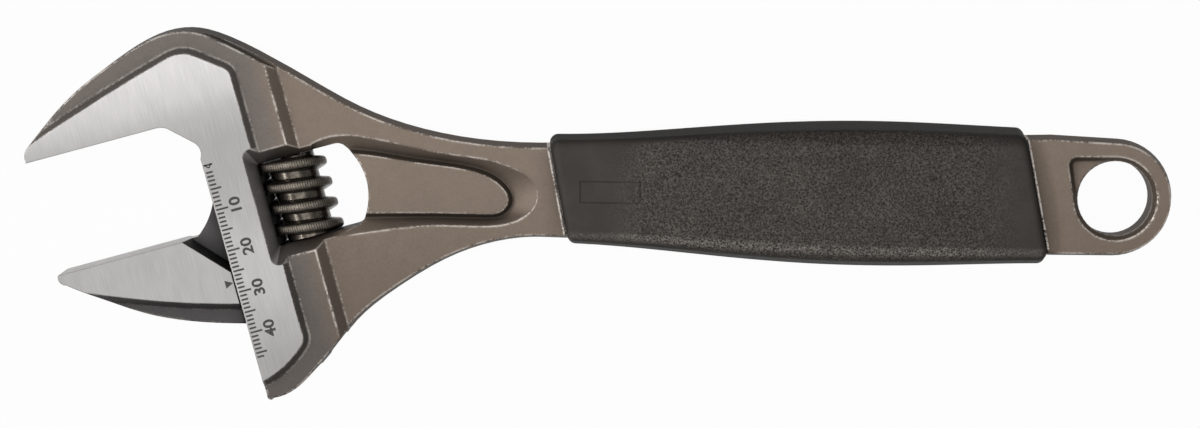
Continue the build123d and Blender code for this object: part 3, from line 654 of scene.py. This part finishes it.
def grip_badge(rubber):
    """Plain raised frame on the grip's front end, left empty."""
    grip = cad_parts["grip"]
    shape = bmesh.new()
    half = BADGE_SIZE / 2
    sides = (((-1, -1), (1, 0)), ((1, -1), (0, 1)), ((1, 1), (-1, 0)), ((-1, 1), (0, -1)))
    outline = []
    for corner, along in sides:
        length = BADGE_SIZE.x if along[0] else BADGE_SIZE.y
        for step in range(BADGE_STEPS):
            reach = length * step / BADGE_STEPS
            across = corner[0] * half.x + along[0] * reach
            up = corner[1] * half.y + along[1] * reach
            outline.append((across, up))
    profile = (
        (0, BADGE_ROOT),
        (BADGE_BEVEL, BADGE_RISE),
        (BADGE_RULE - BADGE_BEVEL, BADGE_RISE),
        (BADGE_RULE, BADGE_ROOT),
    )
    rings = []
    for shrink, rise in profile:
        ring = []
        for across, up in outline:
            x = BADGE_MIDDLE.x + across * (1 - shrink / half.x)
            y = BADGE_MIDDLE.y + up * (1 - shrink / half.y)
            _, spot, _, _ = grip.ray_cast(Vector((x * MM, y * MM, RAY_HEIGHT)), Vector((0, 0, -1)))
            ring.append(shape.verts.new(spot + Vector((0, 0, rise * MM))))
        rings.append(ring)
    count = len(outline)
    for outer, inner in zip(rings, rings[1:] + rings[:1]):
        for index in range(count):
            after = (index + 1) % count
            shape.faces.new([outer[index], outer[after], inner[after], inner[index]])
    bmesh.ops.recalc_face_normals(shape, faces=shape.faces)
    new_piece("grip_badge_frame", shape, rubber, "forging")


def dress(node, material):
    """Gives a CAD node its material."""
    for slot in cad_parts[node].material_slots:
        slot.material = material


rubber = moulded_rubber("moulded_rubber")
ink = etched_ink("etched_ink")
dress("body", coated_steel("brown_phosphate", BROWN_COAT, SHADED_BORDER_COAT, 1))
dress("sliding_jaw", coated_steel("dark_phosphate", JAW_COAT, JAW_COAT, 0))
dress("knurl", blackened_steel("black_oxide_serrated", 1.0))
dress("knurl_pin", blackened_steel("black_oxide", 0.0))
dress("knurl_spring", bright_wire("spring_wire"))
dress("grip", rubber)
scale_ticks(ink)
scale_numbers(ink)
jaw_pointer(ink)
grip_badge(rubber)

# Floor, light and camera
FLOOR_GAP = 0.00005  # keeps the floor clear of the wrench, m
FLOOR_HEIGHT = cad_box[0][2] - FLOOR_GAP
FLOOR_REACH = 3.0
FLOOR_SEEN = 0.97  # share of its white glow that the camera sees
FLOOR_MIRRORED = 0.96  # and that reflections see
KNURL_SHADOW_P = (6.0, KNURL_SETBACK)  # painted shadow on the floor under the knurl, on the head's axes, mm
KNURL_SHADOW_Q = (-40.0, -10.0)


def pale_floor():
    """White table whose brightness the camera sees directly, with a soft shadow left in it."""
    finish = Finish(bpy.data.materials.new("pale_floor"))
    camera_ray, glossy_ray, transmission_ray = (
        finish.node("ShaderNodeLightPath", {}, {}, output=f"Is {ray} Ray")
        for ray in ("Camera", "Glossy", "Transmission")
    )
    x, y, z = finish.places()
    p, q = finish.head_places(x, y)
    paper = finish.noise(finish.vector(x, y, z), 0.02, 2.0, 0.5)
    white = finish.blend(paper, linear(196, 196, 196), linear(202, 202, 202))
    table = finish.node("ShaderNodeBsdfPrincipled", {}, {"Base Color": white, "Roughness": 0.9})
    glow = finish.node("ShaderNodeEmission", {}, {"Color": (1.0, 1.0, 1.0, 1.0), "Strength": 1.0})
    # Painted shadow: the glow is left out under the knurl and fades where the wrench closes the floor
    # in
    knurl_shadow = finish.between(p, *KNURL_SHADOW_P) * finish.between(q, *KNURL_SHADOW_Q)
    clear = finish.smooth(finish.openness(5.0), 0.15, 0.50) * (1.0 - knurl_shadow)
    seen = (camera_ray + transmission_ray) * clear * FLOOR_SEEN + glossy_ray * FLOOR_MIRRORED
    seen = finish.node("ShaderNodeMath", {"operation": "MINIMUM"}, {0: seen, 1: 1.0})
    shader = finish.node("ShaderNodeMixShader", {}, {0: seen, 1: table, 2: glow})
    finish.node("ShaderNodeOutputMaterial", {}, {"Surface": shader})
    mesh = bpy.data.meshes.new("floor")
    corners = [(-1, -1), (1, -1), (1, 1), (-1, 1)]
    mesh.from_pydata(
        [(across * FLOOR_REACH, up * FLOOR_REACH, FLOOR_HEIGHT) for across, up in corners],
        [],
        [(0, 1, 2, 3)],
    )
    floor = bpy.data.objects.new("floor", mesh)
    bpy.context.scene.collection.objects.link(floor)
    mesh.materials.append(finish.owner)


VIEW_MIDDLE = Vector((-121.3, -5.6, 4.0)) * MM
VIEW_DISTANCE = 0.90
VIEW_WIDTH = 283.0 * MM
VIEW_TILT = math.radians(5.0)
VIEW_ROLL = math.radians(0.9)
SENSOR_WIDTH = 36.0
SKY_DIFFUSE = 0.04  # brightness of the sky as a light
SKY_MIRRORED = 0.5  # and in reflections


def aim(place, target, roof):
    """Turn that looks from a place at a target, with roof upwards in the picture."""
    back = (place - target).normalized()
    right = roof.cross(back).normalized()
    return Matrix((right, back.cross(right), back)).transposed().to_4x4()


def photo_camera():
    """Camera over the wrench, leaning a little towards the fixed jaw's side."""
    roof = Vector((-math.sin(VIEW_ROLL), math.cos(VIEW_ROLL), 0.0))
    lean = roof * math.sin(VIEW_TILT) + Vector((0, 0, math.cos(VIEW_TILT)))
    place = VIEW_MIDDLE + lean * VIEW_DISTANCE
    lens = bpy.data.cameras.new("photo_camera")
    lens.sensor_fit = "HORIZONTAL"
    lens.sensor_width = SENSOR_WIDTH
    lens.lens = SENSOR_WIDTH * VIEW_DISTANCE / VIEW_WIDTH
    camera = bpy.data.objects.new("photo_camera", lens)
    camera.matrix_world = Matrix.Translation(place) @ aim(place, VIEW_MIDDLE, roof)
    bpy.context.scene.collection.objects.link(camera)
    bpy.context.scene.camera = camera


def soft_box(name, place, width, height, power):
    """Studio lamp that faces the middle of the wrench."""
    lamp = bpy.data.lights.new(name, "AREA")
    lamp.shape = "RECTANGLE"
    lamp.size = width
    lamp.size_y = height
    lamp.energy = power
    holder = bpy.data.objects.new(name, lamp)
    place = Vector(place)
    holder.matrix_world = Matrix.Translation(place) @ aim(place, VIEW_MIDDLE, Vector((0, 1, 0.01)))
    bpy.context.scene.collection.objects.link(holder)


def studio_sky():
    """Dim even light from all round, which the camera sees white and reflections half as bright."""
    world = bpy.data.worlds.new("studio_sky")
    sky = Finish(world)
    seen = sky.node("ShaderNodeLightPath", {}, {}, output="Is Camera Ray")
    mirrored = sky.node("ShaderNodeLightPath", {}, {}, output="Is Glossy Ray")
    strength = SKY_DIFFUSE + seen * (1.0 - SKY_DIFFUSE) + mirrored * (SKY_MIRRORED - SKY_DIFFUSE)
    white = (1.0, 1.0, 1.0, 1.0)
    light = sky.node("ShaderNodeBackground", {}, {"Color": white, "Strength": strength})
    sky.node("ShaderNodeOutputWorld", {}, {"Surface": light})
    bpy.context.scene.world = world


pale_floor()
photo_camera()
studio_sky()
soft_box("overhead_lamp", (-0.12, 0.04, 1.0), width=0.8, height=0.9, power=5.1)
soft_box("strip_lamp", (-0.75, 0.05, 0.55), width=0.08, height=0.7, power=3.6)
bpy.context.scene.view_settings.view_transform = "Standard"
